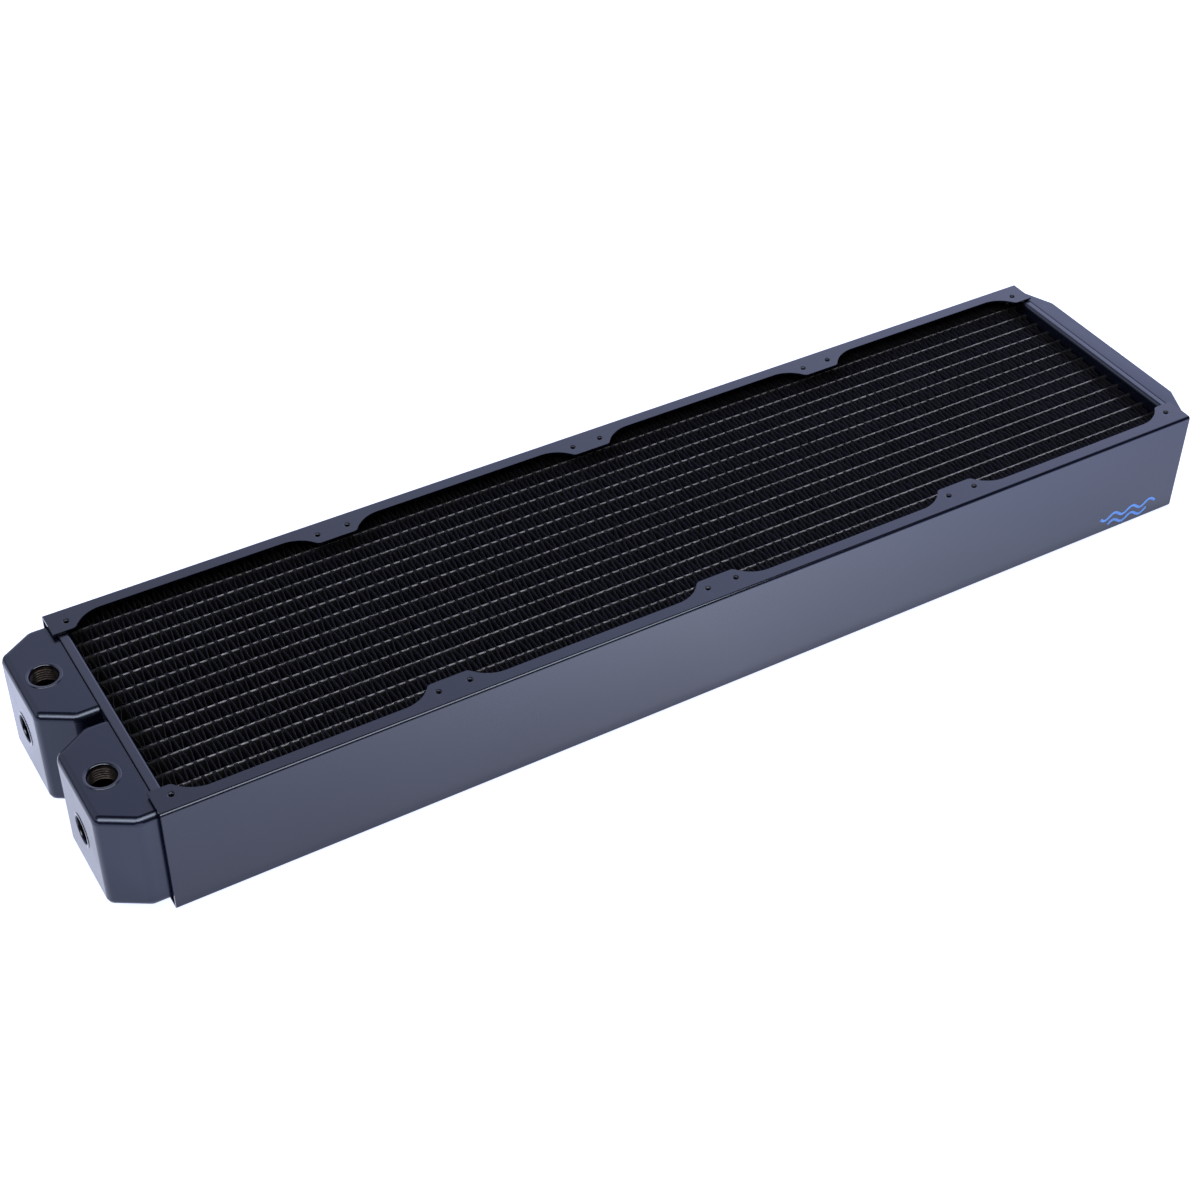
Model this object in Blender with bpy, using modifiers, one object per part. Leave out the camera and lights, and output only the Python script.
"""Liquid cooling radiator for four 140 mm fans in a row.

Two folded steel side channels hold a brazed core of fourteen flat tubes and
fifteen folded fin strips. The tubes pass through a header plate at each end.
At -X two separate deep-drawn chambers, inlet and outlet, each carry three
threaded bushes. At +X one shallow return tank turns the flow round, and its
fill bush is closed by a screw plug with an O-ring, which unscrews along +X.

Axes: +X runs along the radiator away from the chambers, +Y is the inlet side,
+Z is up. The origin is the middle of the overall box, at its lowest face.
"""

import math

import bmesh
import bpy
from mathutils import Matrix, Vector

MM = 0.001

# Fan grid: four 140 mm fans, whose screw holes are 124.5 mm apart.
FAN_COUNT = 4
FAN_PITCH = 140.0 * MM
HOLE_HALF = 62.25 * MM
HOLE_RADIUS = 1.45 * MM

# Overall body.
THICKNESS = 58.0 * MM
HALF_WIDTH = 71.6 * MM
GRID_X = 6.1 * MM  # middle of the fan grid, seen from the middle of the overall length
MID_Z = THICKNESS / 2

# Folded side channels.
SHEET = 1.2 * MM
CHANNEL_HALF = 280.6 * MM
BEND_RADIUS = 1.5 * MM
FLANGE_NARROW = 64.4 * MM  # inner edge beside a fan opening
FLANGE_TAB = 56.1 * MM  # inner edge at the screw tabs
TAB_HALF_OPENING = 45.0 * MM  # where the straight edge of an opening ends
CORNER_RADIUS = 17.7 * MM
TAB_FILLET = 3.0 * MM

# Header plates, which are shallow pans.
HEADER_FACE = 275.1 * MM
HEADER_RIM = 279.4 * MM
HEADER_SHEET = 1.6 * MM
HEADER_HALF_WIDTH = 68.4 * MM
HEADER_LOW = 1.5 * MM
DIVIDER_HALF = 3.3 * MM

# Core.
TUBE_COUNT = 14
TUBE_PITCH = 9.48 * MM
TUBE_THICK = 1.8 * MM
TUBE_WALL = 0.25 * MM
TUBE_DEEP = 44.0 * MM
TUBE_HALF_LENGTH = 278.0 * MM
FIN_HALF_LENGTH = 271.5 * MM
FIN_DEEP = 44.6 * MM
FIN_HIGH = 7.0 * MM
FIN_SHEET = 0.25 * MM
FIN_LEGS = 40
GAP = 0.3 * MM

# Inlet and outlet chambers.
TANK_RIM = 279.7 * MM
CHAMBER_MID_Y = 35.4 * MM
CHAMBER_HALF_WIDTH = 32.5 * MM
CHAMBER_FACE = 305.3 * MM
CHAMBER_FACE_HALF = 22.4 * MM
CHAMBER_SHOULDER = 289.0 * MM
CHAMBER_LOW = 2.5 * MM
CHAMBER_EDGE = 3.5 * MM
CORNER_SHARE = 0.7  # how far an upright corner is rounded, as a share of the edge
TANK_WALL = 1.2 * MM

# Return tank.
RETURN_FACE = 289.4 * MM
RETURN_FACE_HALF = 48.0 * MM
RETURN_SHOULDER = 280.7 * MM
RETURN_HALF_WIDTH = 67.9 * MM
RETURN_LOW = 1.8 * MM
RETURN_EDGE = 1.2 * MM

# Threaded bushes, G 1/4: major 13.157, minor 11.445, pitch 1.337.
THREAD_PITCH = 1.337 * MM
BUSH_PROUD = 0.3 * MM
BUSH_RADIUS = 8.0 * MM
BUSH_FLANGE_RADIUS = 8.8 * MM
BORE_RADIUS = 6.2 * MM
PORT_HOLE_RADIUS = 8.3 * MM
BUSH_DEEP = 9.0 * MM
RETURN_BUSH_DEEP = 8.0 * MM
TOP_PORT_X = 292.6 * MM

# Screw plug and its O-ring.
PLUG_STEM_RADIUS = 5.8 * MM
PLUG_HEAD_RADIUS = 8.7 * MM
PLUG_STEM_END = -6.7 * MM
PLUG_HEAD_TOP = 3.7 * MM
HEX_ACROSS = 6.0 * MM
HEX_FLOOR = -0.6 * MM
RING_MID_RADIUS = 7.4 * MM
RING_SECTION_RADIUS = 0.65 * MM

for old in list(bpy.data.objects):
    bpy.data.objects.remove(old, do_unlink=True)

PARTS = bpy.data.collections.new("liquid_cooling_radiator")
CUTTERS = bpy.data.collections.new("cutters")
for group in (PARTS, CUTTERS):
    bpy.context.scene.collection.children.link(group)
CUTTERS.hide_render = True


def material(name, colour, roughness, metallic):
    made = bpy.data.materials.new(name)
    made.use_nodes = True
    shader = made.node_tree.nodes["Principled BSDF"]
    shader.inputs["Base Color"].default_value = (*colour, 1.0)
    shader.inputs["Roughness"].default_value = roughness
    shader.inputs["Metallic"].default_value = metallic
    made.diffuse_color = (*colour, 1.0)
    return made


BLACK_STEEL = material("black_painted_steel", (0.022, 0.024, 0.034), 0.38, 0.0)
BLACK_BRASS = material("black_painted_brass", (0.026, 0.028, 0.040), 0.34, 0.0)
BLACK_TUBE = material("black_painted_tube", (0.030, 0.030, 0.032), 0.45, 0.0)
BLACK_FIN = material("black_painted_copper_fin", (0.010, 0.011, 0.014), 0.55, 0.0)
BRASS = material("dark_brass_thread", (0.24, 0.15, 0.10), 0.35, 1.0)
PLUG_FINISH = material("black_nickel_plug", (0.05, 0.05, 0.055), 0.28, 1.0)
RUBBER = material("black_rubber", (0.012, 0.012, 0.012), 0.7, 0.0)


def empty(name, at=(0, 0, 0), parent=None):
    made = bpy.data.objects.new(name, None)
    made.location = at
    made.parent = parent
    PARTS.objects.link(made)
    return made


BODY = empty("radiator_frame")
GRID = empty("fan_grid_middle", (GRID_X, 0, 0), BODY)


def smooth(obj, angle=35):
    obj.data.shade_smooth()
    obj.data.set_sharp_from_angle(angle=math.radians(angle))


def placed(mesh, name, finish, at=(0, 0, 0), turn=(0, 0, 0), parent=GRID):
    made = bpy.data.objects.new(name, mesh)
    made.location = at
    made.rotation_euler = turn
    made.parent = parent
    if finish is not None and not mesh.materials:
        mesh.materials.append(finish)
    PARTS.objects.link(made)
    return made


def as_cutter(obj):
    for group in list(obj.users_collection):
        group.objects.unlink(obj)
    CUTTERS.objects.link(obj)
    obj.hide_render = True
    obj.display_type = "WIRE"
    return obj


def cut(obj, cutter, name):
    modifier = obj.modifiers.new(name, "BOOLEAN")
    modifier.operation = "DIFFERENCE"
    modifier.solver = "EXACT"
    modifier.object = cutter


def outline_mesh(name, loops, half_depth, facing):
    """A mesh of flat closed outlines, filled and extruded. facing turns its plane."""
    curve = bpy.data.curves.new(name, "CURVE")
    curve.dimensions = "2D"
    curve.fill_mode = "BOTH"
    curve.extrude = half_depth
    for loop in loops:
        spline = curve.splines.new("POLY")
        spline.points.add(len(loop) - 1)
        for point, (u, v) in zip(spline.points, loop):
            point.co = (u, v, 0, 1)
        spline.use_cyclic_u = True
    holder = bpy.data.objects.new(name + "_outline", curve)
    PARTS.objects.link(holder)
    graph = bpy.context.evaluated_depsgraph_get()
    mesh = bpy.data.meshes.new_from_object(holder.evaluated_get(graph))
    mesh.name = name
    bpy.data.objects.remove(holder, do_unlink=True)
    bpy.data.curves.remove(curve)
    work = bmesh.new()
    work.from_mesh(mesh)
    bmesh.ops.remove_doubles(work, verts=work.verts, dist=1e-6)
    bmesh.ops.transform(work, matrix=facing, verts=work.verts)
    bmesh.ops.recalc_face_normals(work, faces=work.faces)
    work.to_mesh(mesh)
    work.free()
    mesh.materials.clear()
    return mesh


FLAT = Matrix.Identity(4)  # outline in XY, depth along Z
ALONG_X = Matrix(((0, 0, 1, 0), (1, 0, 0, 0), (0, 1, 0, 0), (0, 0, 0, 1)))  # outline in YZ, depth along X


def block_mesh(name, low, high):
    work = bmesh.new()
    bmesh.ops.create_cube(work, size=1.0)
    size = Vector(high) - Vector(low)
    middle = (Vector(high) + Vector(low)) / 2
    bmesh.ops.scale(work, vec=size, verts=work.verts)
    bmesh.ops.translate(work, vec=middle, verts=work.verts)
    mesh = bpy.data.meshes.new(name)
    work.to_mesh(mesh)
    work.free()
    return mesh


def rod_mesh(name, radius, length, sides):
    work = bmesh.new()
    bmesh.ops.create_cone(
        work, cap_ends=True, cap_tris=False, segments=sides, radius1=radius, radius2=radius, depth=length
    )
    mesh = bpy.data.meshes.new(name)
    work.to_mesh(mesh)
    work.free()
    return mesh


def turned(name, profile, closed, sides, finish, **place):
    """A Screw of a profile of (radius, height), which runs down its outer side."""
    mesh = bpy.data.meshes.new(name)
    points = [(r, 0, h) for r, h in profile]
    edges = [(i, i + 1) for i in range(len(points) - 1)]
    if closed:
        edges.append((len(points) - 1, 0))
    mesh.from_pydata(points, edges, [])
    obj = placed(mesh, name, finish, **place)
    screw = obj.modifiers.new("turn", "SCREW")
    screw.steps = screw.render_steps = sides
    screw.angle = math.tau
    screw.use_merge_vertices = True
    screw.merge_threshold = 1e-6
    screw.use_smooth_shade = True
    return obj


def arc(middle, radius, start, end, steps):
    """Points on a circle from start to end, in degrees."""
    return [
        (
            middle[0] + radius * math.cos(math.radians(start + (end - start) * i / steps)),
            middle[1] + radius * math.sin(math.radians(start + (end - start) * i / steps)),
        )
        for i in range(steps + 1)
    ]


# ---- side channels ---------------------------------------------------------


def channel_profile():
    """The C section of the channel at -Y, as (y, z)."""
    out, inner, r = -HALF_WIDTH, -HALF_WIDTH + SHEET, BEND_RADIUS
    points = [(-FLANGE_TAB, THICKNESS)]
    points += arc((out + r, THICKNESS - r), r, 90, 180, 3)
    points += arc((out + r, r), r, 180, 270, 3)
    points += [(-FLANGE_TAB, 0.0), (-FLANGE_TAB, SHEET), (inner, SHEET)]
    points += [(inner, THICKNESS - SHEET), (-FLANGE_TAB, THICKNESS - SHEET)]
    return points


def opening_outline(middle_x):
    """What one fan opening takes from the flange at -Y: a straight edge, a wide
    concave corner at each end and a small rounding at the screw tab."""
    centre = (middle_x - TAB_HALF_OPENING, -FLANGE_NARROW + CORNER_RADIUS)
    reach = CORNER_RADIUS + TAB_FILLET
    drop = centre[1] - (-FLANGE_TAB - TAB_FILLET)
    lean = math.degrees(math.asin(drop / reach))
    fillet = (centre[0] - math.sqrt(reach**2 - drop**2), -FLANGE_TAB - TAB_FILLET)
    left = [(fillet[0], -FLANGE_TAB + 8 * MM)]
    left += arc(fillet, TAB_FILLET, 90, lean, 2)
    left += arc(centre, CORNER_RADIUS, 180 + lean, 270, 5)[1:]
    right = [(2 * middle_x - x, y) for x, y in reversed(left)]
    return left + right


fan_middles = [(i - (FAN_COUNT - 1) / 2) * FAN_PITCH for i in range(FAN_COUNT)]
openings = placed(
    outline_mesh("fan_opening_cutter", [opening_outline(x) for x in fan_middles], THICKNESS, FLAT),
    "fan_opening_cutter",
    None,
    at=(0, 0, MID_Z),
)
as_cutter(openings)

rods = bmesh.new()
for fan_x in fan_middles:
    for side in (-1, 1):
        bmesh.ops.create_cone(
            rods,
            cap_ends=True,
            segments=10,
            radius1=HOLE_RADIUS,
            radius2=HOLE_RADIUS,
            depth=THICKNESS + 10 * MM,
            matrix=Matrix.Translation((fan_x + side * HOLE_HALF, -HOLE_HALF, 0)),
        )
rod_set = bpy.data.meshes.new("screw_hole_cutter")
rods.to_mesh(rod_set)
rods.free()
screw_holes = as_cutter(placed(rod_set, "screw_hole_cutter", None, at=(0, 0, MID_Z)))

front = placed(
    outline_mesh("side_channel_front", [channel_profile()], CHANNEL_HALF, ALONG_X),
    "side_channel_front",
    BLACK_STEEL,
)
cut(front, openings, "fan_openings")
cut(front, screw_holes, "screw_holes")
bpy.context.view_layer.update()
finished = bpy.data.meshes.new_from_object(
    front.evaluated_get(bpy.context.evaluated_depsgraph_get())
)
front.modifiers.clear()
front.data = finished
smooth(front)
placed(finished, "side_channel_rear", BLACK_STEEL, turn=(0, 0, math.pi))


# ---- header plates ---------------------------------------------------------

tube_rows = [(i - (TUBE_COUNT - 1) / 2) * TUBE_PITCH for i in range(TUBE_COUNT)]


def flat_oval(middle_y, thick, deep, steps=3):
    """A flat tube's section as (y, z), with round ends."""
    r = thick / 2
    high, low = MID_Z + deep / 2 - r, MID_Z - deep / 2 + r
    return arc((middle_y, high), r, 0, 180, steps) + arc((middle_y, low), r, 180, 360, steps)


def header_plate(name, pockets, end):
    """A pan that is open towards its tank. It is modelled for +X and turned for -X."""
    mesh = block_mesh(
        name,
        (HEADER_FACE, -HEADER_HALF_WIDTH, HEADER_LOW),
        (HEADER_RIM, HEADER_HALF_WIDTH, THICKNESS - HEADER_LOW),
    )
    work = bmesh.new()
    work.from_mesh(mesh)
    rim = [e for e in work.edges if all(v.co.x < HEADER_FACE + 1e-6 for v in e.verts)]
    bmesh.ops.bevel(
        work, geom=rim, offset=1.5 * MM, segments=2, profile=0.5, affect="EDGES", clamp_overlap=True
    )
    work.to_mesh(mesh)
    work.free()
    plate = placed(mesh, name, BLACK_BRASS, turn=(0, 0, 0 if end > 0 else math.pi))
    inner_low = HEADER_LOW + HEADER_SHEET
    for number, (low_y, high_y) in enumerate(pockets):
        pocket = placed(
            block_mesh(
                f"{name}_pocket_{number}",
                (HEADER_FACE + HEADER_SHEET, low_y, inner_low),
                (HEADER_RIM + 3 * MM, high_y, THICKNESS - inner_low),
            ),
            f"{name}_pocket_{number}",
            None,
            turn=(0, 0, 0 if end > 0 else math.pi),
        )
        cut(plate, as_cutter(pocket), f"pocket_{number}")
    slots = placed(
        outline_mesh(
            f"{name}_slots",
            [flat_oval(y, TUBE_THICK + 2 * GAP, TUBE_DEEP + 2 * GAP) for y in tube_rows],
            6 * MM,
            ALONG_X,
        ),
        f"{name}_slots",
        None,
        at=(end * HEADER_FACE, 0, 0),
    )
    cut(plate, as_cutter(slots), "tube_slots")
    return plate


inside = HEADER_HALF_WIDTH - HEADER_SHEET
header_plate("header_plate_chambers", [(-inside, -DIVIDER_HALF), (DIVIDER_HALF, inside)], -1)
header_plate("header_plate_return", [(-inside, inside)], 1)


# ---- core ------------------------------------------------------------------

tube_mesh = outline_mesh(
    "flat_tube",
    [
        flat_oval(0, TUBE_THICK, TUBE_DEEP),
        flat_oval(0, TUBE_THICK - 2 * TUBE_WALL, TUBE_DEEP - 2 * TUBE_WALL),
    ],
    TUBE_HALF_LENGTH,
    ALONG_X,
)
for number, row_y in enumerate(tube_rows, 1):
    placed(tube_mesh, f"flat_tube_{number:02d}", BLACK_TUBE, at=(0, row_y, 0))


def fin_outline():
    """One folded strip from above: a zigzag that leans on the tube at each side."""
    crest = (FIN_HIGH - FIN_SHEET) / 2
    step = 2 * FIN_HALF_LENGTH / FIN_LEGS
    folds = [(-FIN_HALF_LENGTH + i * step, crest * (-1) ** i) for i in range(FIN_LEGS + 1)]
    above = [(x, y + FIN_SHEET / 2) for x, y in folds]
    below = [(x, y - FIN_SHEET / 2) for x, y in reversed(folds)]
    return above + below


fin_mesh = outline_mesh("fin_strip", [fin_outline()], FIN_DEEP / 2, FLAT)
between = [y + TUBE_PITCH / 2 for y in tube_rows[:-1]]
outermost = (tube_rows[-1] + TUBE_THICK / 2 + HALF_WIDTH - SHEET) / 2
for number, row_y in enumerate([-outermost, *between, outermost], 1):
    placed(fin_mesh, f"fin_strip_{number:02d}", BLACK_FIN, at=(0, row_y, MID_Z))


# ---- tanks -----------------------------------------------------------------


def drawn_tank(name, outline, low, edge, steps, finish, **place):
    """A deep-drawn cap from its outline in plan, as (x, y), open between the outline's
    first and last points."""
    half = (THICKNESS - 2 * low) / 2
    mesh = outline_mesh(name, [outline], half, Matrix.Translation((0, 0, MID_Z)))
    work = bmesh.new()
    work.from_mesh(mesh)
    bmesh.ops.dissolve_limit(
        work, angle_limit=math.radians(1), verts=work.verts, edges=work.edges
    )
    rim_x = outline[0][0]
    rim = [f for f in work.faces if all(abs(v.co.x - rim_x) < 1e-6 for v in f.verts)]
    bmesh.ops.delete(work, geom=rim, context="FACES")
    share = work.edges.layers.float.new("bevel_weight_edge")
    for side in work.edges:
        upright = abs(side.verts[0].co.z - side.verts[1].co.z) > 1e-6
        side[share] = 0.0 if side.is_boundary else CORNER_SHARE if upright else 1.0
    work.to_mesh(mesh)
    work.free()
    tank = placed(mesh, name, finish, **place)
    bevel = tank.modifiers.new("drawn_edges", "BEVEL")
    bevel.width = edge
    bevel.segments = steps
    bevel.limit_method = "WEIGHT"
    shell = tank.modifiers.new("wall", "SOLIDIFY")
    shell.thickness = TANK_WALL
    shell.offset = -1.0
    smooth(tank)
    return tank


def port_cutter(name, at, turn):
    rod = placed(rod_mesh(name, PORT_HOLE_RADIUS, 16 * MM, 20), name, None, at=at, turn=turn)
    return as_cutter(rod)


def port_bush(name, at, turn, deep=BUSH_DEEP):
    """A threaded bush, whose outer face is at the origin and faces local +Z."""
    profile = [
        (BORE_RADIUS + 0.8 * MM, 0),
        (BUSH_RADIUS, 0),
        (BUSH_RADIUS, -1.9 * MM),
        (BUSH_FLANGE_RADIUS, -1.9 * MM),
        (BUSH_FLANGE_RADIUS, -deep),
        (BORE_RADIUS, -deep),
        (BORE_RADIUS, -0.8 * MM),
    ]
    return turned(name, profile, True, 16, BRASS, at=at, turn=turn)


UP, DOWN = (0, 0, 0), (math.pi, 0, 0)
TO_MINUS_X, TO_PLUS_X = (0, -math.pi / 2, 0), (0, math.pi / 2, 0)

w = CHAMBER_HALF_WIDTH
chamber_outline = [
    (-TANK_RIM, -w),
    (-CHAMBER_SHOULDER, -w),
    (-CHAMBER_FACE, -CHAMBER_FACE_HALF),
    (-CHAMBER_FACE, CHAMBER_FACE_HALF),
    (-CHAMBER_SHOULDER, w),
    (-TANK_RIM, w),
]
for name, side in (("inlet", 1), ("outlet", -1)):
    middle = side * CHAMBER_MID_Y
    chamber = drawn_tank(
        f"{name}_chamber", chamber_outline, CHAMBER_LOW, CHAMBER_EDGE, 3, BLACK_BRASS, at=(0, middle, 0)
    )
    ports = {
        "top": ((-TOP_PORT_X, middle, THICKNESS - CHAMBER_LOW + BUSH_PROUD), UP),
        "bottom": ((-TOP_PORT_X, middle, CHAMBER_LOW - BUSH_PROUD), DOWN),
        "end": ((-CHAMBER_FACE - BUSH_PROUD, middle, MID_Z), TO_MINUS_X),
    }
    for where, (at, turn) in ports.items():
        cut(chamber, port_cutter(f"{name}_{where}_port_cutter", at, turn), f"{where}_port")
        port_bush(f"port_bush_{name}_{where}", at, turn)

return_outline = [
    (TANK_RIM, RETURN_HALF_WIDTH),
    (RETURN_SHOULDER, RETURN_HALF_WIDTH),
    (RETURN_FACE, RETURN_FACE_HALF),
    (RETURN_FACE, -RETURN_FACE_HALF),
    (RETURN_SHOULDER, -RETURN_HALF_WIDTH),
    (TANK_RIM, -RETURN_HALF_WIDTH),
]
tank = drawn_tank("return_tank", return_outline, RETURN_LOW, RETURN_EDGE, 2, BLACK_BRASS)
fill_at = (RETURN_FACE + BUSH_PROUD, 0, MID_Z)
cut(tank, port_cutter("fill_port_cutter", fill_at, TO_PLUS_X), "fill_port")
port_bush("port_bush_return_fill", fill_at, TO_PLUS_X, RETURN_BUSH_DEEP)


# ---- fill plug and its O-ring, which unscrew along +X ------------------------

plug_slide = empty("plug_slide_axis", fill_at, GRID)
plug_slide.rotation_euler = TO_PLUS_X

r_in, r_out = RING_MID_RADIUS - RING_SECTION_RADIUS - GAP, RING_MID_RADIUS + RING_SECTION_RADIUS + GAP
plug = turned(
    "fill_plug",
    [
        (0, PLUG_HEAD_TOP),
        (PLUG_HEAD_RADIUS - 0.5 * MM, PLUG_HEAD_TOP),
        (PLUG_HEAD_RADIUS, PLUG_HEAD_TOP - 0.5 * MM),
        (PLUG_HEAD_RADIUS, GAP),
        (r_out, GAP),
        (r_out, 2.0 * MM),
        (r_in, 2.0 * MM),
        (r_in, GAP),
        (PLUG_STEM_RADIUS, GAP),
        (PLUG_STEM_RADIUS, PLUG_STEM_END + 0.6 * MM),
        (PLUG_STEM_RADIUS - 0.6 * MM, PLUG_STEM_END),
        (0, PLUG_STEM_END),
    ],
    False,
    24,
    PLUG_FINISH,
    parent=plug_slide,
)
socket_deep = PLUG_HEAD_TOP - HEX_FLOOR + 2 * MM
socket = placed(
    rod_mesh("hex_socket_cutter", HEX_ACROSS / math.sqrt(3), socket_deep, 6),
    "hex_socket_cutter",
    None,
    at=(0, 0, HEX_FLOOR + socket_deep / 2),
    parent=plug_slide,
)
cut(plug, as_cutter(socket), "hex_socket")

bpy.ops.mesh.primitive_torus_add(
    major_radius=RING_MID_RADIUS,
    minor_radius=RING_SECTION_RADIUS,
    major_segments=24,
    minor_segments=8,
)
ring = bpy.context.object
ring.name = "plug_o_ring"
ring.data.name = "plug_o_ring"
for group in list(ring.users_collection):
    group.objects.unlink(ring)
PARTS.objects.link(ring)
ring.parent = plug_slide
ring.location = (0, 0, GAP + 0.05 * MM + RING_SECTION_RADIUS)
ring.data.materials.append(RUBBER)
ring.data.shade_smooth()
